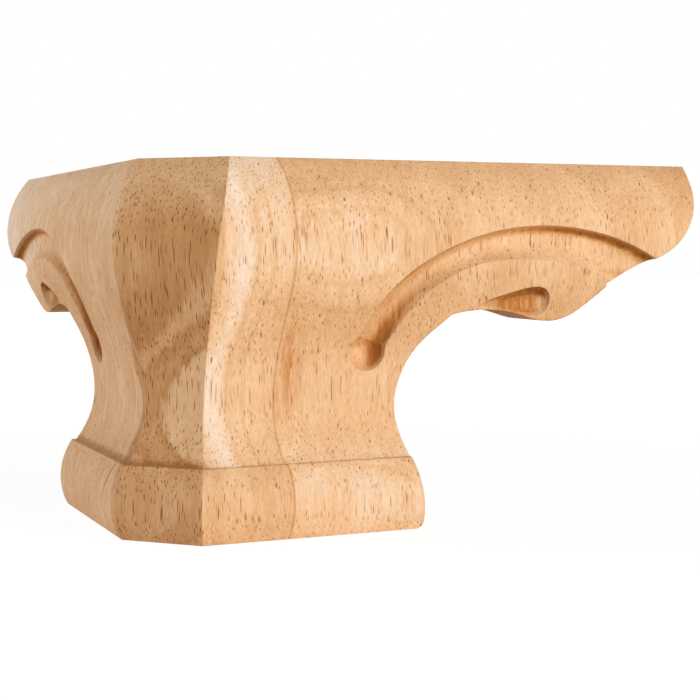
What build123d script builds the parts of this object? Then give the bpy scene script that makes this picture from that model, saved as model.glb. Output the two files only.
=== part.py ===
from build123d import *

import os
from math import cos, pi, radians, sin

"""A wooden pedestal foot for the corner of a cabinet.

Two ogee-moulded arms meet at a right angle behind a chamfered corner, over a rounded base.
Each arm is sawn to a scroll along its lower edge, and has a carved groove and a scooped
hollow. The foot is one solid piece, and a mirror image of itself about its corner.

All sizes are in millimetres. A reach is measured along an arm, from the top edge of the
other arm's face. An out is measured outward from the top edge of an arm's own face. A drop
is measured down from the top. The origin is on the floor, under the middle of the foot.
"""

# overall sizes
foot_height = 114.3
arm_reach = 183.4
arm_back = 14.0
inner_corner_radius = 12.0
clearance = 30.0

# rounded base
step_height = 22.4
base_bulge_out = 11.9
base_bulge_height = 10.1
base_top_out = 8.4
base_bottom_out = 9.6
base_end_bow = 1.0

# ogee face above the base
shoulder_out = 7.3
shoulder_drop = 11.8
bulge_out = 10.1
bulge_drop = 28.3
cove_out = 1.2
cove_height = 45.0
flare_out = 6.9

# chamfered corner: its leg at the top, and how much more than the faces it stands out below
corner_leg = 21.7
extra_at_shoulder = 0.5
extra_at_bulge = 2.1
extra_at_middle = 4.2
extra_at_base = 5.8

# sawn outline: the round end of the arm, the lobe, and the arch down to the base
end_drop = 7.3
end_radius = 25.0
end_turn = 75.0
lobe_end_back = 35.0
lobe_end_drop = 38.8
lobe_end_step = 1.2
lobe_back = 54.9
lobe_drop = 50.9
lobe_radius = 17.5
lobe_turn = 35.0
rise_share = 0.80
rise_drop = 48.6
hump_share = 0.50
hump_drop = 46.9
hump_slope = 0.3
arch_top_share = 0.34
arch_top_drop = 48.2
arch_slope = 0.85
arch_bend_share = 0.127
arch_bend_drop = 58.5
waist_reach = 75.1
waist_height = 37.0
arch_foot_reach = 78.0
arch_foot_slope = 0.3
base_end_reach = 81.0
base_end_radius = 2.5

# carved groove: its round start, its route, and its width and depth where it leaves the
# start, at its narrow part and at its open end
groove_start_width = 11.8
groove_start_depth = 4.4
groove_start_inset = 10.0
groove_start_drop = 59.6
groove_rise_share = 0.46
groove_rise_drop = 33.1
groove_crest_back = 68.4
groove_crest_drop = 25.8
groove_exit_back = 15.2
groove_exit_drop = 42.0
groove_widths = (10.4, 8.6, 17.0)
groove_depths = (3.8, 3.2, 4.4)
groove_narrow_share = 0.4
groove_stations = 9
groove_steep_share = (0.70, 0.90)
groove_gentle_share = (0.70, 0.15)
groove_gentle_sag = (1.0, 0.55)
cutter_rise = 4.0

# scooped hollow over the lower edge of the lobe
scoop_length = 35.0
scoop_width = 8.2
scoop_depth = 2.4
scoop_tilt = 5.0
scoop_belly_share = 0.25
scoop_tail_slope = 0.35
scoop_back = 73.0
scoop_drop = 45.3

# a cubic curve's inner points lie this many times deeper than the curve itself does
sag_per_depth = 4 / 3

# places worked out from the sizes above
corner = (base_bulge_out - arm_reach) / 2
shoulder_height = foot_height - shoulder_drop
bulge_height = foot_height - bulge_drop
middle_height = (bulge_height + cove_height) / 2
middle_out = (bulge_out + cove_out) / 2
lobe_reach = arm_reach - lobe_back
lobe_height = foot_height - lobe_drop

# planes, each with its y axis upright: one arm's face seen from outside, and the sections
# across one arm, across the other arm and across the chamfer
outward = Vector(0, -1, 0)
face_plane = Plane(origin=(corner, corner, 0), x_dir=(1, 0, 0), z_dir=outward)
first_section = Plane(
    origin=(corner + arm_reach + clearance, corner, 0), x_dir=outward, z_dir=(-1, 0, 0)
)
second_section = Plane(origin=(corner, corner - clearance, 0), x_dir=(-1, 0, 0), z_dir=(0, 1, 0))
chamfer_middle = corner + corner_leg / 2
chamfer_section = Plane(
    origin=(chamfer_middle, chamfer_middle, 0), x_dir=(-1, -1, 0), z_dir=(-1, 1, 0)
)
mitre_plane = Plane(origin=(corner, corner, 0), x_dir=(0, 0, 1), z_dir=(1, -1, 0))
section_run = arm_reach + 2 * clearance


def between(start, end, share):
    """The value that lies a share of the way from start to end."""
    return start + (end - start) * share


def ogee_share(height):
    """How far up a height lies from the hollow of the ogee to its bulge, from 0 to 1."""
    share = (height - cove_height) / (bulge_height - cove_height)
    return min(max(share, 0.0), 1.0)


def ogee_out(height):
    """How far the face of an arm stands out at a height."""
    return between(cove_out, bulge_out, (1 - cos(pi * ogee_share(height))) / 2)


def ogee_normal(height):
    """The direction that the face of the first arm looks in at a height."""
    steepness = pi / 2 * (bulge_out - cove_out) / (bulge_height - cove_height)
    return Vector(0, -1, -steepness * sin(pi * ogee_share(height))).normalized()


def moulding(plane, at_shoulder=0.0, at_bulge=0.0, at_middle=0.0, at_base=0.0):
    """Section of the moulding on a plane, standing out more by the given extras."""
    with BuildSketch(plane) as section:
        with BuildLine():
            Spline(
                (0, foot_height),
                (shoulder_out + at_shoulder, shoulder_height),
                (bulge_out + at_bulge, bulge_height),
                (middle_out + at_middle, middle_height),
                (cove_out + at_base, cove_height),
                (flare_out + at_base, step_height),
            )
            Line((flare_out + at_base, step_height), (base_top_out + at_base, step_height))
            ThreePointArc(
                (base_top_out + at_base, step_height),
                (base_bulge_out + at_base, base_bulge_height),
                (base_bottom_out + at_base, 0),
            )
            Polyline(
                (base_bottom_out + at_base, 0),
                (-section_run, 0),
                (-section_run, foot_height),
                (0, foot_height),
            )
        make_face()
    return section.sketch


def scroll(plane):
    """Sawn outline of an arm on a plane, from outside the corner to the arm's end."""
    top = foot_height + clearance
    end_start = foot_height - end_drop
    lobe_end = (arm_reach - lobe_end_back, foot_height - lobe_end_drop)
    lobe_side = (arm_reach - lobe_end_back, foot_height - lobe_end_drop - lobe_end_step)
    rise = (between(waist_reach, lobe_reach, rise_share), foot_height - rise_drop)
    hump = (between(waist_reach, lobe_reach, hump_share), foot_height - hump_drop)
    arch_top = (between(waist_reach, lobe_reach, arch_top_share), foot_height - arch_top_drop)
    arch_bend = (between(waist_reach, lobe_reach, arch_bend_share), foot_height - arch_bend_drop)
    arch_foot = (arch_foot_reach, step_height)
    base_bow = ((arch_foot_reach + base_end_reach) / 2 + base_end_bow, step_height / 2)
    with BuildSketch(plane) as outline:
        with BuildLine():
            Polyline((-clearance, 0), (-clearance, top), (arm_reach, top), (arm_reach, end_start))
            arm_end = CenterArc((arm_reach - end_radius, end_start), end_radius, 0, -end_turn)
            Line(arm_end @ 1, lobe_end)
            lobe_centre = (lobe_reach, lobe_height + lobe_radius)
            lobe = CenterArc(lobe_centre, lobe_radius, lobe_turn - 90, -lobe_turn)
            TangentArc(lobe @ 0, lobe_side, tangent=-(lobe % 0))
            Line(lobe_side, lobe_end)
            Spline(lobe @ 1, rise, hump, arch_top, tangents=[(-1, 0), (-1, -hump_slope)])
            Spline(
                arch_top,
                arch_bend,
                (waist_reach, waist_height),
                arch_foot,
                tangents=[(-1, -arch_slope), (arch_foot_slope, -1)],
            )
            ThreePointArc(arch_foot, base_bow, (base_end_reach, 0))
            Line((base_end_reach, 0), (-clearance, 0))
        make_face()
        base_corner = vertices().group_by(Axis.Y)[0].sort_by(Axis.X)[-1]
        fillet(base_corner, radius=base_end_radius)
    return outline.sketch


def three_way(values, share):
    """A value that runs from the first through the second, at the narrow part, to the third."""
    first, second, third = values
    if share < groove_narrow_share:
        return between(first, second, share / groove_narrow_share)
    return between(second, third, (share - groove_narrow_share) / (1 - groove_narrow_share))


def face_frame(place, along):
    """Plane across a cut: origin on the carved face, y out of the wood and z along the cut."""
    normal = ogee_normal(place.Z)
    origin = place + outward * ogee_out(place.Z)
    return Plane(origin=origin, x_dir=normal.cross(along), z_dir=along)


# the groove's cutter: a dish at its round start, and sections along its route
with BuildPart() as groove_cutter:
    start_reach = waist_reach - groove_start_inset
    crest_reach = arm_reach - groove_crest_back
    with BuildLine(face_plane):
        route = Spline(
            (start_reach, foot_height - groove_start_drop),
            (between(start_reach, crest_reach, groove_rise_share), foot_height - groove_rise_drop),
            (crest_reach, foot_height - groove_crest_drop),
            (arm_reach - groove_exit_back, foot_height - groove_exit_drop),
        )
    for station in range(groove_stations):
        share = station / (groove_stations - 1)
        half = three_way(groove_widths, share) / 2
        sag = three_way(groove_depths, share) * sag_per_depth
        steep = between(*groove_steep_share, share) * half
        gentle = between(*groove_gentle_share, share) * half
        gentle_sag = between(*groove_gentle_sag, share) * sag
        steep_top = half + (half - steep) * cutter_rise / sag
        gentle_top = half + (half - gentle) * cutter_rise / gentle_sag
        with BuildSketch(face_frame(route @ share, route % share)):
            with BuildLine():
                Bezier((half, 0), (steep, -sag), (-gentle, -gentle_sag), (-half, 0))
                Polyline((-half, 0), (-gentle_top, cutter_rise), (steep_top, cutter_rise), (half, 0))
            make_face()
    loft()
    ball_radius = (groove_start_width**2 / 4 + groove_start_depth**2) / (2 * groove_start_depth)
    ball_frame = face_frame(route @ 0, route % 0)
    with Locations(ball_frame.origin + ball_frame.y_dir * (ball_radius - groove_start_depth)):
        Sphere(ball_radius)

# the scoop's cutter: a pear whose belly dips below the face, blunt towards the arm's end
with BuildPart() as scoop_cutter:
    belly = (scoop_width**2 / 4 + scoop_depth**2) / (2 * scoop_depth)
    half = scoop_length / 2
    along = Vector(cos(radians(scoop_tilt)), 0, sin(radians(scoop_tilt)))
    place = Vector(corner + arm_reach - scoop_back, corner, foot_height - scoop_drop)
    scoop_frame = face_frame(place, along)
    axis_point = scoop_frame.origin + scoop_frame.y_dir * (belly - scoop_depth)
    with BuildSketch(Plane(origin=axis_point, x_dir=along, z_dir=scoop_frame.x_dir)):
        with BuildLine():
            Spline(
                (-half, 0),
                (scoop_belly_share * half, belly),
                (half, 0),
                tangents=[(1, scoop_tail_slope), (0, -1)],
            )
            Line((-half, 0), (half, 0))
        make_face()
    revolve(axis=Axis(axis_point, along))

# the foot: three mouldings meet, both scrolls are sawn out of them, and the back is hollowed
with BuildPart() as pedestal_foot:
    extrude(moulding(first_section), amount=section_run)
    extrude(moulding(second_section), amount=section_run, mode=Mode.INTERSECT)
    chamfer_face = moulding(
        chamfer_section, extra_at_shoulder, extra_at_bulge, extra_at_middle, extra_at_base
    )
    extrude(chamfer_face, amount=section_run, both=True, mode=Mode.INTERSECT)
    sawn = extrude(scroll(face_plane.offset(clearance)), amount=-section_run, mode=Mode.PRIVATE)
    add(sawn, mode=Mode.INTERSECT)
    mirror(sawn, about=mitre_plane, mode=Mode.INTERSECT)
    with BuildSketch(Plane.XY):
        with Locations((corner + arm_back, corner + arm_back)):
            Rectangle(section_run, section_run, align=(Align.MIN, Align.MIN))
        inner_corner = vertices().group_by(Axis.X)[0].sort_by(Axis.Y)[0]
        fillet(inner_corner, radius=inner_corner_radius)
    extrude(amount=foot_height, mode=Mode.SUBTRACT)
    for cutter in (groove_cutter, scoop_cutter):
        add(cutter.part, mode=Mode.SUBTRACT)
        mirror(cutter.part, about=mitre_plane, mode=Mode.SUBTRACT)

os.makedirs("parts", exist_ok=True)
pedestal_foot.part.label = "pedestal_foot"
export_step(pedestal_foot.part, "parts/pedestal_foot.step")
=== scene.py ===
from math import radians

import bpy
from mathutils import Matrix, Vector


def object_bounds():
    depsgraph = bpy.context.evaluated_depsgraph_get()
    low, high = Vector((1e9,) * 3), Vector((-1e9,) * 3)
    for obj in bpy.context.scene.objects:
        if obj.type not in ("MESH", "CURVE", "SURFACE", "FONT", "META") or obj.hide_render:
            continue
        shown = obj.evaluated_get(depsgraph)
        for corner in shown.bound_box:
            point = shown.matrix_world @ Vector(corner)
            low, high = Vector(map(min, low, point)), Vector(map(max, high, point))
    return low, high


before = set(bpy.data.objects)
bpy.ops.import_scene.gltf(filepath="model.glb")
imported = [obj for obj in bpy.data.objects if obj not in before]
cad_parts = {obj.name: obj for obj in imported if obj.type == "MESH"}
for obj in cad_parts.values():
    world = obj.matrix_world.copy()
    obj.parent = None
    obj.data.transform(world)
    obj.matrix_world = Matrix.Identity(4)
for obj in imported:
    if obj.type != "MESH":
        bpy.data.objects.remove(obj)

# %% [markdown]
# The foot in the photograph is solid rubberwood, sanded and left unfinished. The CAD model
# already has its shape, so it stays, and this lesson gives it its wood, its light and its
# camera. First come the tools for the whole lesson, and a note of the box that the CAD model
# fills.

cad_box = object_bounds()
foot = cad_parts["pedestal_foot"]
print("foot spans", [round(high - low, 4) for low, high in zip(*cad_box)], "m")

# %% [markdown]
# The photograph was taken from a little over half a metre away, slightly to the left of the
# corner and just below the height of the top. Its angle of view matches a lens of 78.5 mm on a
# sensor 36 mm wide.

# %% Camera at the photograph's place
camera_data = bpy.data.cameras.new("photo_camera")
camera_data.sensor_width = 36.0
camera_data.lens = 78.54
camera = bpy.data.objects.new("photo_camera", camera_data)
camera.location = (-0.2125, -0.5182, 0.0877)
camera.rotation_euler = (radians(86.10), radians(0.07), radians(-23.44))
bpy.context.scene.collection.objects.link(camera)
bpy.context.scene.camera = camera
print("camera stands", round(camera.location.length, 3), "m from the foot's middle")

# %% [markdown]
# Colours are written as the hex values that a colour picker shows, and one function turns them
# to the linear values that Blender works in. One more function adds a node, so that every
# material below reads as a list of what it is made of. Its inputs go by name, or by number on
# the nodes that give several sockets one name. A mix node does so, and its numbers get names.

# %% Helpers for colours and nodes
def linear(hex_colour):
    """Linear RGBA of an sRGB hex colour."""
    channels = [int(hex_colour[i:i + 2], 16) / 255 for i in (0, 2, 4)]
    return [c / 12.92 if c <= 0.04045 else ((c + 0.055) / 1.055) ** 2.4 for c in channels] + [1.0]


def add_node(owner, kind, inputs=None, **settings):
    """Adds a node. Inputs that are sockets are linked, and other inputs are set."""
    node = owner.node_tree.nodes.new(kind)
    for name, value in settings.items():
        setattr(node, name, value)
    for name, value in (inputs or {}).items():
        if isinstance(value, bpy.types.NodeSocket):
            owner.node_tree.links.new(value, node.inputs[name])
        else:
            node.inputs[name].default_value = value
    return node


MIX_SHARE, FIRST_VALUE, SECOND_VALUE = 0, 2, 3
FIRST_COLOUR, SECOND_COLOUR, MIXED_COLOUR = 6, 7, 2
print("a mid grey of 808080 is", round(linear("808080")[0], 3), "in linear light")

# %% [markdown]
# The stage is a sheet of white paper. It keeps a soft trace of the foot's shadow, and the
# camera sees the rest of it as white, as in a photograph for a catalogue. Only camera, glossy
# and transmission rays see that white, so it puts no light on the wood. The rest of the paper's
# look is plain diffuse, which is where the shadow falls. Away from the foot the white gets a
# little stronger, which hides the line where the paper ends.

# %% White paper floor
bpy.ops.object.select_all(action="DESELECT")
bpy.ops.mesh.primitive_plane_add(size=6.0)
floor = bpy.context.object
floor.name = "floor"
paper = bpy.data.materials.new("white_paper_matt")
paper.use_nodes = True
paper.node_tree.nodes.clear()
sheet = add_node(paper, "ShaderNodeBsdfDiffuse", {"Color": linear("F4F4F4")})
paper_place = add_node(paper, "ShaderNodeTexCoord")
from_foot = add_node(
    paper, "ShaderNodeVectorMath", {0: paper_place.outputs["Object"]}, operation="LENGTH",
)
whiteness = add_node(
    paper, "ShaderNodeMapRange",
    {"Value": from_foot.outputs["Value"], "From Min": 0.15, "From Max": 0.9,
     "To Min": 1.10, "To Max": 1.30},
)
white = add_node(
    paper, "ShaderNodeEmission", {"Color": linear("FFFFFF"), "Strength": whiteness.outputs[0]},
)


def seen_white(owner):
    """1 for camera, glossy and transmission rays, and 0 for the rays that light the foot."""
    rays = add_node(owner, "ShaderNodeLightPath")
    seen = rays.outputs["Is Camera Ray"]
    for kind in ("Is Glossy Ray", "Is Transmission Ray"):
        either = add_node(
            owner, "ShaderNodeMath", {0: seen, 1: rays.outputs[kind]},
            operation="ADD", use_clamp=True,
        )
        seen = either.outputs[0]
    return seen


white_part = 0.84  # the rest is plain paper, which keeps the shadow
white_share = add_node(
    paper, "ShaderNodeMath", {0: seen_white(paper), 1: white_part}, operation="MULTIPLY",
)
paper_mix = add_node(
    paper, "ShaderNodeMixShader",
    {0: white_share.outputs[0], 1: sheet.outputs[0], 2: white.outputs[0]},
)
add_node(paper, "ShaderNodeOutputMaterial", {"Surface": paper_mix.outputs[0]})
floor.data.materials.append(paper)
print("floor is", floor.dimensions.x, "m wide")

# %% [markdown]
# The photograph has two soft boxes and white surroundings. The stronger box stands low, to the
# right of the camera, and lights the face of the right arm. The weaker one stands on the left,
# and lights the left arm, so the chamfer between the two stays the darkest.

# %% Two soft boxes
def add_softbox(name, place, size, power):
    """A square lamp at a place, turned towards the middle of the foot."""
    data = bpy.data.lights.new(name, "AREA")
    data.size = size
    data.energy = power
    lamp = bpy.data.objects.new(name, data)
    lamp.location = place
    aim = Vector((0.0, -0.04, 0.06)) - lamp.location
    lamp.rotation_euler = aim.to_track_quat("-Z", "Y").to_euler()
    bpy.context.scene.collection.objects.link(lamp)
    return lamp


key = add_softbox("softbox_right", (0.80, -1.85, 0.46), 0.8, 34.5)
fill = add_softbox("softbox_left", (-1.10, 0.42, 0.36), 0.5, 5.7)
print("lamps:", key.data.energy, "W and", fill.data.energy, "W")

# %% [markdown]
# The room around them is plain and white. It lights the foot weakly from every side, which
# fills the shadows, and where the camera looks past the paper it sees pure white.

# %% The white room
room = bpy.data.worlds.new("white_room")
bpy.context.scene.world = room
room.use_nodes = True
room.node_tree.nodes.clear()
room_light = add_node(room, "ShaderNodeBackground", {"Color": linear("FFFFFF"), "Strength": 0.25})
room_white = add_node(room, "ShaderNodeBackground", {"Color": linear("FFFFFF"), "Strength": 1.0})
room_mix = add_node(
    room, "ShaderNodeMixShader",
    {0: seen_white(room), 1: room_light.outputs[0], 2: room_white.outputs[0]},
)
add_node(room, "ShaderNodeOutputWorld", {"Surface": room_mix.outputs[0]})
bpy.context.scene.view_settings.view_transform = "Standard"
print("the room's light is", room_light.inputs["Strength"].default_value)

# %% [markdown]
# Rubberwood is a pale hardwood. The material is worked out in the solid, from Object
# coordinates in millimetres, so every cut through it shows the layers and pores that a saw or
# a carving tool would open there. Distances count from the corner where the arms' faces would
# meet, which lies behind the rounded base. The trunk stood along Z, and a slow noise makes the
# grain wander by a few millimetres, as it does in a real trunk.

# %% The grain's coordinates
mm_per_m = 1000
base_reach_mm = 11.9  # how far the base stands out past the corner
corner_mm = round(cad_box[1][0] * mm_per_m - base_reach_mm, 2)
wander_mm = 7.0
wander_length_mm = 45
rubberwood = bpy.data.materials.new("rubberwood_sanded_unfinished")
rubberwood.use_nodes = True
rubberwood.node_tree.nodes.clear()
place = add_node(rubberwood, "ShaderNodeTexCoord")
from_corner = add_node(
    rubberwood, "ShaderNodeMapping",
    {"Vector": place.outputs["Object"], "Location": (corner_mm, corner_mm, 0.0),
     "Scale": (mm_per_m, mm_per_m, mm_per_m)},
)
wander = add_node(
    rubberwood, "ShaderNodeTexNoise",
    {"Vector": from_corner.outputs[0], "Scale": 1 / wander_length_mm, "Detail": 1.0,
     "Roughness": 0.4},
)
wander_middle = add_node(
    rubberwood, "ShaderNodeVectorMath", {0: wander.outputs["Color"], 1: (0.5, 0.5, 0.5)},
    operation="SUBTRACT",
)
wander_size = add_node(
    rubberwood, "ShaderNodeVectorMath",
    {0: wander_middle.outputs[0], 1: (wander_mm, wander_mm, 0.0)},
    operation="MULTIPLY",
)
grain_place = add_node(
    rubberwood, "ShaderNodeVectorMath", {0: from_corner.outputs[0], 1: wander_size.outputs[0]},
    operation="ADD",
)
parts = add_node(rubberwood, "ShaderNodeSeparateXYZ", {0: from_corner.outputs[0]})
surface = add_node(rubberwood, "ShaderNodeNewGeometry")
facing = add_node(rubberwood, "ShaderNodeSeparateXYZ", {0: surface.outputs["Normal"]})
print("the corner lies", corner_mm, "mm from the foot's middle")

# %% [markdown]
# The edge between two growth layers is never a clean line. Fibres of early and late wood mix
# there, so a fine noise, drawn out along the grain, shifts each edge to and fro by about a
# millimetre before the layers are drawn. Fibres, streaks and pores below are drawn out in the
# same way, so one function does it.

# %% Feathered edges of the layers
def along_grain(times):
    """The grain's coordinates, drawn out along Z by this many times."""
    drawn_out = add_node(
        rubberwood, "ShaderNodeVectorMath", {0: grain_place.outputs[0], 1: (1.0, 1.0, 1 / times)},
        operation="MULTIPLY",
    )
    return drawn_out.outputs[0]


feather_mm = 2.6
feather_width_mm = 1.5
feather = add_node(
    rubberwood, "ShaderNodeTexNoise",
    {"Vector": along_grain(12), "Scale": 1 / feather_width_mm, "Detail": 3.0, "Roughness": 0.6},
)
print("layer edges are feathered over", feather_mm, "mm")

# %% [markdown]
# The corner block was cut from the side of a trunk, so its layers are nearly flat sheets. They
# lean, a little less past the chamfer, and the ogee cuts them into the funnel and the loops of
# the chamfer. Each layer is given by its place in millimetres across the sheets, and by how dark
# it is, from 0 to 1.

# %% Growth layers of the corner block
def fill_ramp(ramp_node, stops):
    """Gives a ramp its stops: pairs of a position from 0 to 1 and a colour."""
    elements = ramp_node.color_ramp.elements
    while len(elements) > 1:
        elements.remove(elements[-1])
    elements[0].position, elements[0].color = stops[0]
    for position, colour in stops[1:]:
        elements.new(position).color = colour


def set_layers(ramp_node, low, high, layers):
    """Gives a ramp its layers: pairs of a place in mm and a darkness."""
    fill_ramp(ramp_node, [
        ((place_mm - low) / (high - low), [darkness] * 3 + [1.0]) for place_mm, darkness in layers
    ])


corner_low, corner_high = -40.0, 60.0
corner_shift = 7.4 - feather_mm / 2  # from the corner to where the list starts to count
sheets_face = (0.86, 0.5, -0.12)
lean_per_mm, lean_from_mm = 0.087, 40.0
corner_layer = add_node(
    rubberwood, "ShaderNodeVectorMath", {0: grain_place.outputs[0], 1: sheets_face},
    operation="DOT_PRODUCT",
)
corner_feathered = add_node(
    rubberwood, "ShaderNodeMath",
    {0: feather.outputs["Fac"], 1: feather_mm, 2: corner_layer.outputs["Value"]},
    operation="MULTIPLY_ADD",
)
lean = add_node(
    rubberwood, "ShaderNodeMath",
    {0: parts.outputs["Z"], 1: lean_per_mm, 2: -lean_per_mm * lean_from_mm},
    operation="MULTIPLY_ADD",
)
past_chamfer = add_node(
    rubberwood, "ShaderNodeMapRange",
    {"Value": facing.outputs["X"], "From Min": -0.25, "From Max": -0.10},
)
corner_leaning = add_node(
    rubberwood, "ShaderNodeMath",
    {0: lean.outputs[0], 1: past_chamfer.outputs[0], 2: corner_feathered.outputs[0]},
    operation="MULTIPLY_ADD",
)
corner_share = add_node(
    rubberwood, "ShaderNodeMapRange",
    {"Value": corner_leaning.outputs[0],
     "From Min": corner_low - corner_shift, "From Max": corner_high - corner_shift},
)
corner_ramp = add_node(rubberwood, "ShaderNodeValToRGB", {"Fac": corner_share.outputs[0]})
corner_layers = [
    (-30, 0.45), (-6, 0.54), (-3, 0.64), (2.0, 0.78), (3.6, 0.74), (4.5, 0.54), (5.9, 0.50),
    (6.6, 0.78), (8.4, 0.66), (9.3, 0.68), (9.9, 0.84), (10.3, 0.42), (11.2, 0.28), (13.4, 0.20),
    (15.0, 0.10), (16.6, 0.10), (18.4, 0.22), (19.6, 0.38), (20.4, 0.28), (23.0, 0.32),
    (23.7, 0.46), (24.4, 0.31), (30, 0.36), (60, 0.38),
]
set_layers(corner_ramp, corner_low, corner_high, corner_layers)
print("corner block has", len(corner_layers), "layer edges")

# %% [markdown]
# The layers don't show equally on every side. They fade towards the top, and under the step
# they run together. On the right arm's face the dark ones are weaker, and on the chamfer the
# palest ones look less pale. Four gentle changes to the darkness say so.

# %% Where the corner's layers fade
step_mm = 22.3  # the height of the step, where the base ends
base_darkness = 0.51
top_fade = add_node(
    rubberwood, "ShaderNodeMapRange",
    {"Value": parts.outputs["Z"], "From Min": 94.0, "From Max": 110.0,
     "To Min": 1.0, "To Max": 0.44},
)
face_limit = add_node(
    rubberwood, "ShaderNodeMapRange",
    {"Value": facing.outputs["Y"], "From Min": -0.76, "From Max": -0.90,
     "To Min": 1.0, "To Max": 0.44},
)
under_step = add_node(
    rubberwood, "ShaderNodeMapRange",
    {"Value": parts.outputs["Z"], "From Min": step_mm - 0.1, "From Max": step_mm + 0.2,
     "To Min": 0.65, "To Max": 0.0},
)
base_blend = add_node(
    rubberwood, "ShaderNodeMix",
    {MIX_SHARE: under_step.outputs[0], FIRST_VALUE: corner_ramp.outputs[0],
     SECOND_VALUE: base_darkness},
)
faded = add_node(
    rubberwood, "ShaderNodeMath", {0: base_blend.outputs[0], 1: top_fade.outputs[0]},
    operation="MULTIPLY",
)
limited = add_node(
    rubberwood, "ShaderNodeMath", {0: faded.outputs[0], 1: face_limit.outputs[0]},
    operation="MINIMUM",
)
chamfer_limit = add_node(
    rubberwood, "ShaderNodeMapRange",
    {"Value": facing.outputs["X"], "From Min": -0.25, "From Max": -0.45,
     "To Min": 0.0, "To Max": 0.36},
)
corner_dark = add_node(
    rubberwood, "ShaderNodeMath", {0: limited.outputs[0], 1: chamfer_limit.outputs[0]},
    operation="MAXIMUM",
)
print("at the top the corner's layers keep", round(top_fade.inputs["To Max"].default_value, 2))

# %% [markdown]
# The right arm's board was cut next to the pith, which lay in front of its face. Its layers are
# wide ovals round that pith. Where the ogee's bulge reaches out towards the pith it cuts
# them in closed loops, and the hollow below spreads them into tall arches.

# %% Growth layers of the right arm
arm_low, arm_high = 60.0, 165.0
pith_mm = (56.0, -80.0)
from_pith = add_node(
    rubberwood, "ShaderNodeVectorMath",
    {0: grain_place.outputs[0], 1: (-pith_mm[0], -pith_mm[1], 0.0)},
    operation="ADD",
)
across_pith = add_node(
    rubberwood, "ShaderNodeVectorMath", {0: from_pith.outputs[0], 1: (0.85, 1.0, 0.0)},
    operation="MULTIPLY",
)
pith_distance = add_node(
    rubberwood, "ShaderNodeVectorMath", {0: across_pith.outputs[0]}, operation="LENGTH",
)
arm_feathered = add_node(
    rubberwood, "ShaderNodeMath",
    {0: feather.outputs["Fac"], 1: feather_mm / 2, 2: pith_distance.outputs["Value"]},
    operation="MULTIPLY_ADD",
)
arm_share = add_node(
    rubberwood, "ShaderNodeMapRange",
    {"Value": arm_feathered.outputs[0], "From Min": arm_low, "From Max": arm_high},
)
arm_ramp = add_node(rubberwood, "ShaderNodeValToRGB", {"Fac": arm_share.outputs[0]})
arm_layers = [
    (66, 0.24), (71.2, 0.28), (71.9, 0.40), (72.4, 0.30), (74.2, 0.40), (74.8, 0.50), (75.3, 0.41),
    (77.5, 0.40), (79.5, 0.35), (84, 0.42), (92, 0.38), (98, 0.40), (104, 0.32), (105.5, 0.42),
    (115, 0.41), (122, 0.36), (124, 0.48), (140, 0.50), (160, 0.50),
]
set_layers(arm_ramp, arm_low, arm_high, arm_layers)
print("right arm has", len(arm_layers), "layer edges")

# %% [markdown]
# A blank this thick is glued up from boards. The right board joins the corner block about
# 35 mm along the arm, where a thin brown line shows. The left board joins at the chamfer. Each
# joint is a plane, and a point's distance past it says which board the point is in.

# %% The joints between the boards
right_joint_faces, joint_mm = (1.0, 0.35, -0.03), 33.2
left_joint_faces = (-0.7, 1.0, 0.0)
glue_half_mm = 0.35
right_side = add_node(
    rubberwood, "ShaderNodeVectorMath", {0: from_corner.outputs[0], 1: right_joint_faces},
    operation="DOT_PRODUCT",
)
right_share = add_node(
    rubberwood, "ShaderNodeMapRange",
    {"Value": right_side.outputs["Value"], "From Min": joint_mm - 0.2, "From Max": joint_mm + 0.2},
)
left_side = add_node(
    rubberwood, "ShaderNodeVectorMath", {0: from_corner.outputs[0], 1: left_joint_faces},
    operation="DOT_PRODUCT",
)
left_share = add_node(
    rubberwood, "ShaderNodeMapRange",
    {"Value": left_side.outputs["Value"], "From Min": 20.5, "From Max": 23.0},
)
glue_distance = add_node(
    rubberwood, "ShaderNodeMath", {0: right_side.outputs["Value"], 1: joint_mm, 2: glue_half_mm},
    operation="COMPARE",
)
print("the glue line is", 2 * glue_half_mm, "mm wide")

# %% [markdown]
# The three boards are now put together. Just above the step the right board gets paler, and on
# the base it is as dark as before. The left board was sawn through the layers, so it shows no
# loops, and only gets paler towards the arm's end.

# %% The three boards together
base_regain = 0.58  # makes up for the fade on the base
glue_darkness = 0.22
arm_foot_fade = add_node(
    rubberwood, "ShaderNodeMapRange",
    {"Value": parts.outputs["Z"], "From Min": 24.0, "From Max": 33.0,
     "To Min": 0.62, "To Max": 1.0},
)
arm_fade = add_node(
    rubberwood, "ShaderNodeMath",
    {0: under_step.outputs[0], 1: base_regain, 2: arm_foot_fade.outputs[0]},
    operation="MULTIPLY_ADD",
)
arm_dark = add_node(
    rubberwood, "ShaderNodeMath", {0: arm_ramp.outputs[0], 1: arm_fade.outputs[0]},
    operation="MULTIPLY",
)
two_boards = add_node(
    rubberwood, "ShaderNodeMix",
    {MIX_SHARE: right_share.outputs[0], FIRST_VALUE: corner_dark.outputs[0],
     SECOND_VALUE: arm_dark.outputs[0]},
)
left_dark = add_node(
    rubberwood, "ShaderNodeMapRange",
    {"Value": parts.outputs["Y"], "From Min": 110.0, "From Max": 168.0,
     "To Min": 0.25, "To Max": 0.02},
)
jointed = add_node(
    rubberwood, "ShaderNodeMath",
    {0: glue_distance.outputs[0], 1: glue_darkness, 2: two_boards.outputs[0]},
    operation="MULTIPLY_ADD",
)
left_faded = add_node(
    rubberwood, "ShaderNodeMath", {0: left_dark.outputs[0], 1: top_fade.outputs[0]},
    operation="MULTIPLY",
)
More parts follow.
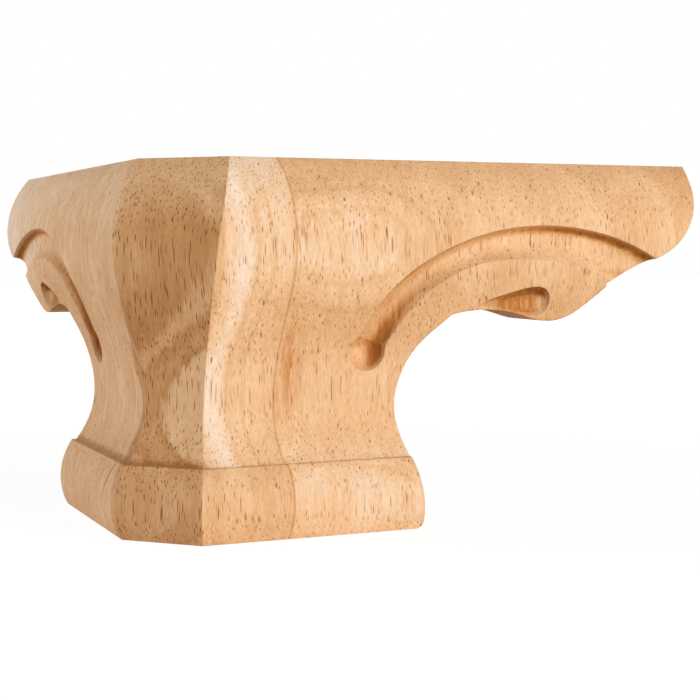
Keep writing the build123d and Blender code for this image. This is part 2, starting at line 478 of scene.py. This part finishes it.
boards = add_node(
    rubberwood, "ShaderNodeMix",
    {MIX_SHARE: left_share.outputs[0], FIRST_VALUE: jointed.outputs[0],
     SECOND_VALUE: left_faded.outputs[0]},
)
print("the glue line is darker by", glue_darkness)

# %% [markdown]
# Between the growth layers the wood is still uneven. Streaks a few millimetres wide run far
# along the grain, and soft clouds a centimetre or two across come from the way the tree fed
# each part. Both only change how dark the wood is, and the left board shows its streaks more.

# %% Streaks and clouds
streak_mm = 2.6
cloud_mm, cloud_depth = 16, 0.30
streaks = add_node(
    rubberwood, "ShaderNodeTexNoise",
    {"Vector": along_grain(24), "Scale": 1 / streak_mm, "Detail": 3.0, "Roughness": 0.65},
)
clouds = add_node(
    rubberwood, "ShaderNodeTexNoise",
    {"Vector": from_corner.outputs[0], "Scale": 1 / cloud_mm, "Detail": 2.0},
)
streak_depth = add_node(
    rubberwood, "ShaderNodeMapRange",
    {"Value": left_share.outputs[0], "From Min": 0.0, "From Max": 1.0,
     "To Min": 0.34, "To Max": 0.54},
)
streaked = add_node(
    rubberwood, "ShaderNodeMath",
    {0: streaks.outputs["Fac"], 1: streak_depth.outputs[0], 2: boards.outputs[0]},
    operation="MULTIPLY_ADD",
)
clouded = add_node(
    rubberwood, "ShaderNodeMath",
    {0: clouds.outputs["Fac"], 1: cloud_depth, 2: streaked.outputs[0]},
    operation="MULTIPLY_ADD",
)
unevenness_middle = 0.32
uneven = add_node(
    rubberwood, "ShaderNodeMath", {0: clouded.outputs[0], 1: unevenness_middle},
    operation="SUBTRACT",
)
print("streaks are", streak_mm, "mm wide and clouds", cloud_mm, "mm")

# %% [markdown]
# Where a surface cuts across the fibres, their open ends soak up light and look darker, as on
# the top, the arm ends and the steep parts of the ogee. The share of the surface's normal
# along the grain says how much it cuts across. Under the bulge, surfaces that face down are
# darkened a little more, which is painted shade.

# %% End grain, and painted shade under the bulge
across_fibres = add_node(
    rubberwood, "ShaderNodeMath", {0: facing.outputs["Z"]}, operation="ABSOLUTE",
)
end_grain = add_node(
    rubberwood, "ShaderNodeMapRange",
    {"Value": across_fibres.outputs[0], "From Min": 0.25, "From Max": 1.0,
     "To Min": 0.0, "To Max": 0.15},
)
# Painted shade: below the bulge, surfaces that face down are darkened a little.
painted_shade_under_bulge = add_node(
    rubberwood, "ShaderNodeMapRange",
    {"Value": facing.outputs["Z"], "From Min": -0.12, "From Max": -0.36,
     "To Min": 0.0, "To Max": 0.16},
)
above_cove = add_node(
    rubberwood, "ShaderNodeMapRange",
    {"Value": parts.outputs["Z"], "From Min": 35.0, "From Max": 50.0},
)
end_grain_and_painted_shade = add_node(
    rubberwood, "ShaderNodeMath",
    {0: painted_shade_under_bulge.outputs[0], 1: above_cove.outputs[0], 2: end_grain.outputs[0]},
    operation="MULTIPLY_ADD",
)
toned = add_node(
    rubberwood, "ShaderNodeMath", {0: uneven.outputs[0], 1: end_grain_and_painted_shade.outputs[0]},
    operation="ADD", use_clamp=True,
)
print("end grain is darker by up to", round(end_grain.inputs["To Max"].default_value, 2))

# %% [markdown]
# One ramp turns darkness to the colours of rubberwood: cream sapwood, straw early wood, tan
# late wood, and the brown of its darkest layers.

# %% Colours of the wood
wood_ramp = add_node(rubberwood, "ShaderNodeValToRGB", {"Fac": toned.outputs[0]})
wood_colours = [("sapwood", 0.0, "F6E0CA"), ("early wood", 0.33, "E8BC8F"),
                ("late wood", 0.66, "CF9A66"), ("dark layers", 1.0, "AE7440")]
fill_ramp(wood_ramp, [(darkness, linear(colour)) for _, darkness, colour in wood_colours])
print("wood colours:", [name for name, _, _ in wood_colours])

# %% [markdown]
# Beside the right joint some latex stayed in the wood and turned it orange brown. Each streak
# is a long soft ellipsoid, given by its middle and its half sizes in millimetres, and the
# fibres break it up.

# %% Latex streaks
streaked_colour = wood_ramp.outputs[0]
latex_streaks = [((39.3, -4.0, 50.0), (6.5, 12.0, 22.0)), ((42.0, -8.0, 93.0), (6.0, 12.0, 6.0))]
latex_break = add_node(
    rubberwood, "ShaderNodeMapRange",
    {"Value": streaks.outputs["Fac"], "From Min": 0.35, "From Max": 0.65},
)
for middle, half_sizes in latex_streaks:
    from_middle = add_node(
        rubberwood, "ShaderNodeVectorMath", {0: from_corner.outputs[0], 1: middle},
        operation="SUBTRACT",
    )
    in_halves = add_node(
        rubberwood, "ShaderNodeVectorMath", {0: from_middle.outputs[0], 1: half_sizes},
        operation="DIVIDE",
    )
    reach = add_node(
        rubberwood, "ShaderNodeVectorMath", {0: in_halves.outputs[0]}, operation="LENGTH",
    )
    latex = add_node(
        rubberwood, "ShaderNodeMapRange",
        {"Value": reach.outputs["Value"], "From Min": 0.1, "From Max": 1.0,
         "To Min": 1.25, "To Max": 0.0},
    )
    latex_share = add_node(
        rubberwood, "ShaderNodeMath", {0: latex.outputs[0], 1: latex_break.outputs[0]},
        operation="MULTIPLY",
    )
    beyond_joint = add_node(
        rubberwood, "ShaderNodeMath", {0: latex_share.outputs[0], 1: right_share.outputs[0]},
        operation="MULTIPLY", use_clamp=True,
    )
    latex_mix = add_node(
        rubberwood, "ShaderNodeMix",
        {MIX_SHARE: beyond_joint.outputs[0], FIRST_COLOUR: streaked_colour,
         SECOND_COLOUR: linear("C9864A")},
        data_type="RGBA",
    )
    streaked_colour = latex_mix.outputs[MIXED_COLOUR]
print("latex streaks:", len(latex_streaks))

# %% [markdown]
# Rubberwood has open pores, which are the tubes that carried the sap. A face along the grain
# cuts them into dashes a few millimetres long, and a face across it into dots. Stretched
# Voronoi cells give a tube in each cell, and its shadow darkens the wood's own colour. Real
# pores are 0.1 to 0.3 mm wide, too fine for the render, so the ones drawn are up to 0.4 mm
# wide. The left board shows fewer of them, and where the light rakes across the faces that look
# left they show more.

# %% Small pores
pore_mm, pore_times = 0.62, 21
pores = add_node(
    rubberwood, "ShaderNodeTexVoronoi", {"Vector": along_grain(pore_times), "Scale": 1 / pore_mm},
    feature="F1",
)
pore_edge = add_node(
    rubberwood, "ShaderNodeMapRange",
    {"Value": pores.outputs["Distance"], "From Min": 0.17, "From Max": 0.36,
     "To Min": 1.0, "To Max": 0.0},
)
pore_kind = add_node(rubberwood, "ShaderNodeSeparateColor", {0: pores.outputs["Color"]})
pore_chance = add_node(
    rubberwood, "ShaderNodeMapRange",
    {"Value": pore_kind.outputs[0], "From Min": 0.10, "From Max": 0.95,
     "To Min": 0.0, "To Max": 0.95},
)
open_pores = add_node(
    rubberwood, "ShaderNodeMath", {0: pore_edge.outputs[0], 1: pore_chance.outputs[0]},
    operation="MULTIPLY",
)
left_pores = add_node(
    rubberwood, "ShaderNodeMapRange",
    {"Value": left_share.outputs[0], "From Min": 0.0, "From Max": 1.0,
     "To Min": 1.0, "To Max": 0.45},
)
raked_pores = add_node(
    rubberwood, "ShaderNodeMapRange",
    {"Value": facing.outputs["X"], "From Min": -0.25, "From Max": -0.45,
     "To Min": 1.0, "To Max": 1.8},
)
pore_share = add_node(
    rubberwood, "ShaderNodeMath", {0: open_pores.outputs[0], 1: left_pores.outputs[0]},
    operation="MULTIPLY",
)
pore_strength = add_node(
    rubberwood, "ShaderNodeMath", {0: pore_share.outputs[0], 1: raked_pores.outputs[0]},
    operation="MULTIPLY", use_clamp=True,
)
pored = add_node(
    rubberwood, "ShaderNodeMix",
    {MIX_SHARE: pore_strength.outputs[0], FIRST_COLOUR: streaked_colour,
     SECOND_COLOUR: linear("BE9366")},
    data_type="RGBA", blend_type="MULTIPLY",
)
print("a small pore's cell is", pore_mm, "by", round(pore_mm * pore_times, 1), "mm")

# %% [markdown]
# A few pores are larger. They run for a centimetre or two, and dirt and gum have turned them
# dark brown. They are made the same way, in wider and longer cells.

# %% Large dark pores
gum_mm, gum_times = 1.8, 15
gum_pores = add_node(
    rubberwood, "ShaderNodeTexVoronoi", {"Vector": along_grain(gum_times), "Scale": 1 / gum_mm},
    feature="F1",
)
gum_edge = add_node(
    rubberwood, "ShaderNodeMapRange",
    {"Value": gum_pores.outputs["Distance"], "From Min": 0.09, "From Max": 0.19,
     "To Min": 1.0, "To Max": 0.0},
)
gum_kind = add_node(rubberwood, "ShaderNodeSeparateColor", {0: gum_pores.outputs["Color"]})
gum_chance = add_node(
    rubberwood, "ShaderNodeMapRange",
    {"Value": gum_kind.outputs[1], "From Min": 0.20, "From Max": 0.9,
     "To Min": 0.0, "To Max": 0.90},
)
gum_strength = add_node(
    rubberwood, "ShaderNodeMath", {0: gum_edge.outputs[0], 1: gum_chance.outputs[0]},
    operation="MULTIPLY",
)
gummed = add_node(
    rubberwood, "ShaderNodeMix",
    {MIX_SHARE: gum_strength.outputs[0], FIRST_COLOUR: pored.outputs[MIXED_COLOUR],
     SECOND_COLOUR: linear("84623F")},
    data_type="RGBA", blend_type="MULTIPLY",
)
print("a large pore's cell is", gum_mm, "by", round(gum_mm * gum_times, 1), "mm")

# %% [markdown]
# The carving tool scorched the wood where it cut deep, and the walls there also get painted
# shade. To find those places, a curve repeats how far the ogee stands out at each height, so
# that a point's recess can be measured from it.

# %% The ogee as a curve
foot_height_mm = round(cad_box[1][2] * mm_per_m, 1)
curve_top_mm = 12.0  # what a curve value of 1 stands for
up_share = add_node(
    rubberwood, "ShaderNodeMapRange",
    {"Value": parts.outputs["Z"], "From Min": 0.0, "From Max": foot_height_mm},
)
ogee = add_node(rubberwood, "ShaderNodeFloatCurve", {"Value": up_share.outputs[0]})
ogee_points = [
    (0.0, 9.6), (10.1, base_reach_mm), (step_mm, 8.4), (22.5, 6.9), (30.5, 3.9), (38.0, 2.3),
    (45.0, 1.2), (53.3, 2.4), (61.0, 5.0), (68.6, 6.6), (76.0, 8.5), (86.0, 10.1),
    (102.5, 7.3), (foot_height_mm, 0.0),
]
curve = ogee.mapping.curves[0]
curve.points[0].location = (0.0, ogee_points[0][1] / curve_top_mm)
curve.points[1].location = (1.0, ogee_points[-1][1] / curve_top_mm)
for height, out in ogee_points[1:-1]:
    curve.points.new(height / foot_height_mm, out / curve_top_mm)
ogee.mapping.update()
print("the ogee's curve has", len(curve.points), "points")

# %% [markdown]
# The recess is how far a point lies behind that curve. Only surfaces that face outwards count,
# which leaves out the sawn edges, and nothing deeper than the carving counts, which leaves out
# the back. The two arms differ only in which axis runs along them.

# %% How far a point lies behind the ogee
def in_carving(along, behind):
    """How surely a point of one arm is in the carving, from 0 to 1."""
    recess = add_node(
        rubberwood, "ShaderNodeMath",
        {0: ogee.outputs[0], 1: curve_top_mm, 2: parts.outputs[behind]},
        operation="MULTIPLY_ADD",
    )
    deep = add_node(
        rubberwood, "ShaderNodeMapRange",
        {"Value": recess.outputs[0], "From Min": 0.2, "From Max": 1.8},
    )
    not_too_deep = add_node(
        rubberwood, "ShaderNodeMapRange",
        {"Value": recess.outputs[0], "From Min": 4.9, "From Max": 5.6,
         "To Min": 1.0, "To Max": 0.0},
    )
    outwards = add_node(
        rubberwood, "ShaderNodeMapRange",
        {"Value": facing.outputs[behind], "From Min": -0.15, "From Max": -0.40},
    )
    on_the_arm = add_node(
        rubberwood, "ShaderNodeMapRange",
        {"Value": parts.outputs[along], "From Min": 46.0, "From Max": 50.0},
    )
    for limit in (not_too_deep, outwards, on_the_arm):
        deep = add_node(
            rubberwood, "ShaderNodeMath", {0: deep.outputs[0], 1: limit.outputs[0]},
            operation="MULTIPLY",
        )
    return deep.outputs[0]


arm_axes = {"right": ("X", "Y"), "left": ("Y", "X")}
carvings = {arm: in_carving(along, behind) for arm, (along, behind) in arm_axes.items()}
print("the carving is found on the arms", sorted(carvings))

# %% [markdown]
# The tool pressed hardest in three places, and walls there that turn from the light also get
# painted shade. At the groove's start it was the lower wall, which looks back to the corner.
# Towards the arm's end it was the groove's upper wall, which faces down.

# %% Scorch and painted shade at the groove's start and on its upper wall
start_ends_mm = {"right": (70.0, 98.0), "left": (90.0, 140.0)}  # where the first one fades
below_groove = add_node(
    rubberwood, "ShaderNodeMapRange",
    {"Value": parts.outputs["Z"], "From Min": 81.0, "From Max": 77.0},
)


def start_scorch_and_shade(arm, along):
    """The scorch and painted shade on the lower wall near the groove's start, from 0 to 1."""
    near_start = add_node(
        rubberwood, "ShaderNodeMapRange",
        {"Value": parts.outputs[along], "From Min": start_ends_mm[arm][0],
         "From Max": start_ends_mm[arm][1], "To Min": 1.0, "To Max": 0.0},
    )
    # Painted shade: the wall that looks back along the arm is darkened by which way it faces.
    lower_wall = add_node(
        rubberwood, "ShaderNodeMapRange",
        {"Value": facing.outputs[along], "From Min": 0.0, "From Max": -0.45,
         "To Min": 0.12, "To Max": 0.82},
    )
    return add_node(
        rubberwood, "ShaderNodeMath", {0: near_start.outputs[0], 1: lower_wall.outputs[0]},
        operation="MULTIPLY",
    )


def wall_scorch_and_shade(along, in_scoop):
    """Scorch and painted shade on upper walls at the groove's far end and in the scoop, 0 to 1."""
    near_exit = add_node(
        rubberwood, "ShaderNodeMapRange",
        {"Value": parts.outputs[along], "From Min": 98.0, "From Max": 134.0,
         "To Min": 0.12, "To Max": 1.0},
    )
    wall_share = add_node(
        rubberwood, "ShaderNodeMath", {0: near_exit.outputs[0], 1: in_scoop.outputs[0]},
        operation="MAXIMUM",
    )
    # Painted shade: walls that face down are darkened.
    upper_wall = add_node(
        rubberwood, "ShaderNodeMapRange",
        {"Value": facing.outputs["Z"], "From Min": -0.22, "From Max": -0.56},
    )
    return add_node(
        rubberwood, "ShaderNodeMath", {0: upper_wall.outputs[0], 1: wall_share.outputs[0]},
        operation="MULTIPLY",
    )


print("the scorch at the start fades over", start_ends_mm, "mm")

# %% [markdown]
# The third place is the scoop, which lies past the groove's start and below the groove. All of
# it is scorched and given painted shade but its round end. The strongest of the three counts at
# each point.

# %% Scorch and painted shade in the scoop, and all three together
def scoop_scorch_and_shade(along, in_scoop):
    """The scorch and painted shade inside the scoop, without its round end, from 0 to 1."""
    before_end = add_node(
        rubberwood, "ShaderNodeMapRange",
        {"Value": facing.outputs[along], "From Min": -0.45, "From Max": -0.15,
         "To Min": 0.1, "To Max": 0.68},
    )
    return add_node(
        rubberwood, "ShaderNodeMath", {0: in_scoop.outputs[0], 1: before_end.outputs[0]},
        operation="MULTIPLY",
    )


recesses = {}
for arm, (along, behind) in arm_axes.items():
    past_start = add_node(
        rubberwood, "ShaderNodeMapRange",
        {"Value": parts.outputs[along], "From Min": 90.0, "From Max": 96.0},
    )
    in_scoop = add_node(
        rubberwood, "ShaderNodeMath", {0: past_start.outputs[0], 1: below_groove.outputs[0]},
        operation="MULTIPLY",
    )
    # Each arm's scorch and painted shade: the strongest of the three at each point.
    scorch_and_shade = start_scorch_and_shade(arm, along)
    for other in (wall_scorch_and_shade(along, in_scoop), scoop_scorch_and_shade(along, in_scoop)):
        scorch_and_shade = add_node(
            rubberwood, "ShaderNodeMath", {0: scorch_and_shade.outputs[0], 1: other.outputs[0]},
            operation="MAXIMUM",
        )
    recesses[arm] = add_node(
        rubberwood, "ShaderNodeMath", {0: carvings[arm], 1: scorch_and_shade.outputs[0]},
        operation="MULTIPLY",
    )
print("scorch is placed on", sorted(recesses))

# %% [markdown]
# Under the top of the arch, surfaces that face down get painted shade in the scorch's colours.
# All of it breaks up along the fibres, which for the scorch is because the hard late wood burns
# less than the soft early wood.

# %% Painted shade under the arch, and all of it broken up by the fibres
arch_top_mm = ((60.0, 68.0), (84.0, 80.0))  # where the painted shade starts below, and ends above
carved = add_node(
    rubberwood, "ShaderNodeMath", {0: recesses["right"].outputs[0], 1: recesses["left"].outputs[0]},
    operation="MAXIMUM",
)
# Painted shade: surfaces under the arch's top that face down are darkened.
painted_shade_under_arch = add_node(
    rubberwood, "ShaderNodeMapRange",
    {"Value": facing.outputs["Z"], "From Min": -0.5, "From Max": -0.75,
     "To Min": 0.0, "To Max": 0.75},
)
for none, full in arch_top_mm:
    arch_top = add_node(
        rubberwood, "ShaderNodeMapRange",
        {"Value": parts.outputs["Z"], "From Min": none, "From Max": full},
    )
    painted_shade_under_arch = add_node(
        rubberwood, "ShaderNodeMath", {0: painted_shade_under_arch.outputs[0], 1: arch_top.outputs[0]},
        operation="MULTIPLY",
    )
all_scorch_and_shade = add_node(
    rubberwood, "ShaderNodeMath", {0: carved.outputs[0], 1: painted_shade_under_arch.outputs[0]},
    operation="MAXIMUM",
)
scorch_and_shade_break = add_node(
    rubberwood, "ShaderNodeMapRange",
    {"Value": feather.outputs["Fac"], "From Min": 0.3, "From Max": 0.7,
     "To Min": 0.55, "To Max": 1.0},
)
scorch_and_shade_share = add_node(
    rubberwood, "ShaderNodeMath", {0: all_scorch_and_shade.outputs[0], 1: scorch_and_shade_break.outputs[0]},
    operation="MULTIPLY",
)
print("scorch is broken up to", round(scorch_and_shade_break.inputs["To Min"].default_value, 2))

# %% [markdown]
# Light scorch is a warm tan that lets the wood show through. Where the tool stood still, it
# turns orange brown and then a burnt brown, and covers the wood almost wholly. The painted shade
# takes the same colours, so its darkest parts are painted burnt brown too.

# %% Colours of the scorch and the painted shade
scorch_and_shade_ramp = add_node(rubberwood, "ShaderNodeValToRGB", {"Fac": scorch_and_shade_share.outputs[0]})
scorch_and_shade_colours = [("warmed", 0.0, "D69C60"), ("scorched_and_shaded", 0.5, "B46C24"),
                  ("burnt_and_deep_shade", 1.0, "6C3C10")]
fill_ramp(scorch_and_shade_ramp, [(burn, linear(colour)) for _, burn, colour in scorch_and_shade_colours])
scorch_and_shade_cover = add_node(
    rubberwood, "ShaderNodeMapRange",
    {"Value": scorch_and_shade_share.outputs[0], "From Min": 0.0, "From Max": 0.55,
     "To Min": 0.0, "To Max": 0.92},
)
scorched_and_shaded = add_node(
    rubberwood, "ShaderNodeMix",
    {MIX_SHARE: scorch_and_shade_cover.outputs[0], FIRST_COLOUR: gummed.outputs[MIXED_COLOUR],
     SECOND_COLOUR: scorch_and_shade_ramp.outputs[0]},
    data_type="RGBA",
)
print("scorch colours:", [name for name, _, _ in scorch_and_shade_colours])

# %% [markdown]
# The moulding cutter also scorched the foot of the ogee, just above the step, where its edge
# rubbed. The band is a couple of millimetres high and ragged. It is also painted shade in the
# crease above the step, so it is strongest on the chamfer and on the left arm, which get less
# of the key light.

# %% Scorched line and painted shade above the step
ragged_mm = 2.2
ragged_height = add_node(
    rubberwood, "ShaderNodeMath", {0: feather.outputs["Fac"], 1: -ragged_mm, 2: parts.outputs["Z"]},
    operation="MULTIPLY_ADD",
)
step_band = add_node(
    rubberwood, "ShaderNodeMapRange",
    {"Value": ragged_height.outputs[0], "From Min": 22.0, "From Max": 23.4,
     "To Min": 1.0, "To Max": 0.0},
)
above_base = add_node(
    rubberwood, "ShaderNodeMapRange",
    {"Value": parts.outputs["Z"], "From Min": step_mm - 0.1, "From Max": step_mm + 0.1},
)
# Painted shade: faces that look left, away from the key light, get more of the band.
faces_left = add_node(
    rubberwood, "ShaderNodeMapRange",
    {"Value": facing.outputs["X"], "From Min": -0.3, "From Max": -0.6,
     "To Min": 0.04, "To Max": 0.52},
)
band_above_base = add_node(
    rubberwood, "ShaderNodeMath", {0: step_band.outputs[0], 1: above_base.outputs[0]},
    operation="MULTIPLY",
)
step_burn_and_shade = add_node(
    rubberwood, "ShaderNodeMath", {0: band_above_base.outputs[0], 1: faces_left.outputs[0]},
    operation="MULTIPLY",
)
# The band's colour stands partly for scorch and partly for painted shade in the crease.
lined = add_node(
    rubberwood, "ShaderNodeMix",
    {MIX_SHARE: step_burn_and_shade.outputs[0], FIRST_COLOUR: scorched_and_shaded.outputs[MIXED_COLOUR],
     SECOND_COLOUR: linear("83470F")},
    data_type="RGBA",
)
print("the band's edge is ragged over", ragged_mm, "mm")

# %% [markdown]
# On the base, to the left of the chamfer, the glue joint has opened to a hairline crack. It
# leans across the base and ends before the floor. Each point is compared with a plane, and the
# match is drawn as a dark line. A real crack is finer, so this one is as wide as it has to be
# to show.

# %% Hairline crack in the base
crack_faces, crack_mm, crack_half_mm = (0.0, 1.0, 0.45), 29.0, 0.28
crack_plane = add_node(
    rubberwood, "ShaderNodeVectorMath", {0: grain_place.outputs[0], 1: crack_faces},
    operation="DOT_PRODUCT",
)
crack = add_node(
    rubberwood, "ShaderNodeMath", {0: crack_plane.outputs["Value"], 1: crack_mm, 2: crack_half_mm},
    operation="COMPARE",
)
crack_low = add_node(
    rubberwood, "ShaderNodeMapRange",
    {"Value": parts.outputs["Z"], "From Min": 7.0, "From Max": 17.0},
)
crack_high = add_node(
    rubberwood, "ShaderNodeMapRange",
    {"Value": parts.outputs["Z"], "From Min": step_mm + 0.1, "From Max": step_mm + 0.2,
     "To Min": 0.95, "To Max": 0.0},
)
crack_face = add_node(
    rubberwood, "ShaderNodeMapRange",
    {"Value": facing.outputs["X"], "From Min": -0.8, "From Max": -0.9},
)
crack_strength = crack
for limit in (crack_low, crack_high, crack_face):
    crack_strength = add_node(
        rubberwood, "ShaderNodeMath", {0: crack_strength.outputs[0], 1: limit.outputs[0]},
        operation="MULTIPLY",
    )
cracked = add_node(
    rubberwood, "ShaderNodeMix",
    {MIX_SHARE: crack_strength.outputs[0], FIRST_COLOUR: lined.outputs[MIXED_COLOUR],
     SECOND_COLOUR: linear("5C3518")},
    data_type="RGBA",
)
print("the crack is drawn", 2 * crack_half_mm, "mm wide")

# %% [markdown]
# Sanding leaves the cut fibres standing as a fine speckle. Single fibres are too fine for the
# render, so it is drawn as a noise half a millimetre wide, and longer along the grain. It makes
# the colour lighter or darker by up to an eighth.

# %% Sanded fibres
fibre_mm = 0.55
fibres = add_node(
    rubberwood, "ShaderNodeTexNoise",
    {"Vector": along_grain(5), "Scale": 1 / fibre_mm, "Detail": 2.0, "Roughness": 0.7},
)
fibre_tone = add_node(
    rubberwood, "ShaderNodeMapRange",
    {"Value": fibres.outputs["Fac"], "From Min": 0.25, "From Max": 0.75,
     "To Min": 0.86, "To Max": 1.12},
)
fibre_colour = add_node(
    rubberwood, "ShaderNodeVectorMath",
    {0: cracked.outputs[MIXED_COLOUR], "Scale": fibre_tone.outputs[0]},
    operation="SCALE",
)
print("fibre speckle is", fibre_mm, "mm wide")

# %% [markdown]
# The pores are real hollows and the fibres real ridges, so both also go into a bump. The
# sander rounded each sharp edge a little, and a Bevel node gives the light that edge to catch
# without changing the mesh.

# %% Relief and eased edges
pore_depth = 0.5  # against the height of the fibres
eased_mm, bump_mm = 0.7, 0.3
pore_hollows = add_node(
    rubberwood, "ShaderNodeMath", {0: pore_strength.outputs[0], 1: gum_strength.outputs[0]},
    operation="ADD",
)
relief = add_node(
    rubberwood, "ShaderNodeMath",
    {0: pore_hollows.outputs[0], 1: -pore_depth, 2: fibres.outputs["Fac"]},
    operation="MULTIPLY_ADD",
)
eased = add_node(rubberwood, "ShaderNodeBevel", {"Radius": eased_mm / mm_per_m}, samples=6)
bump = add_node(
    rubberwood, "ShaderNodeBump",
    {"Strength": 0.35, "Distance": bump_mm / mm_per_m, "Height": relief.outputs[0],
     "Normal": eased.outputs[0]},
)
print("edges are eased by", eased_mm, "mm")

# %% [markdown]
# Bare sanded wood is matt, with only a trace of sheen where light grazes it. The CAD node's own
# slots get the finished material.

# %% The shader
wood = add_node(
    rubberwood, "ShaderNodeBsdfPrincipled",
    {"Base Color": fibre_colour.outputs[0], "Roughness": 0.62, "IOR": 1.45,
     "Specular IOR Level": 0.1, "Normal": bump.outputs[0]},
)
add_node(rubberwood, "ShaderNodeOutputMaterial", {"Surface": wood.outputs["BSDF"]})
for slot in foot.material_slots:
    slot.material = rubberwood
print("slots:", [slot.name for slot in foot.material_slots])
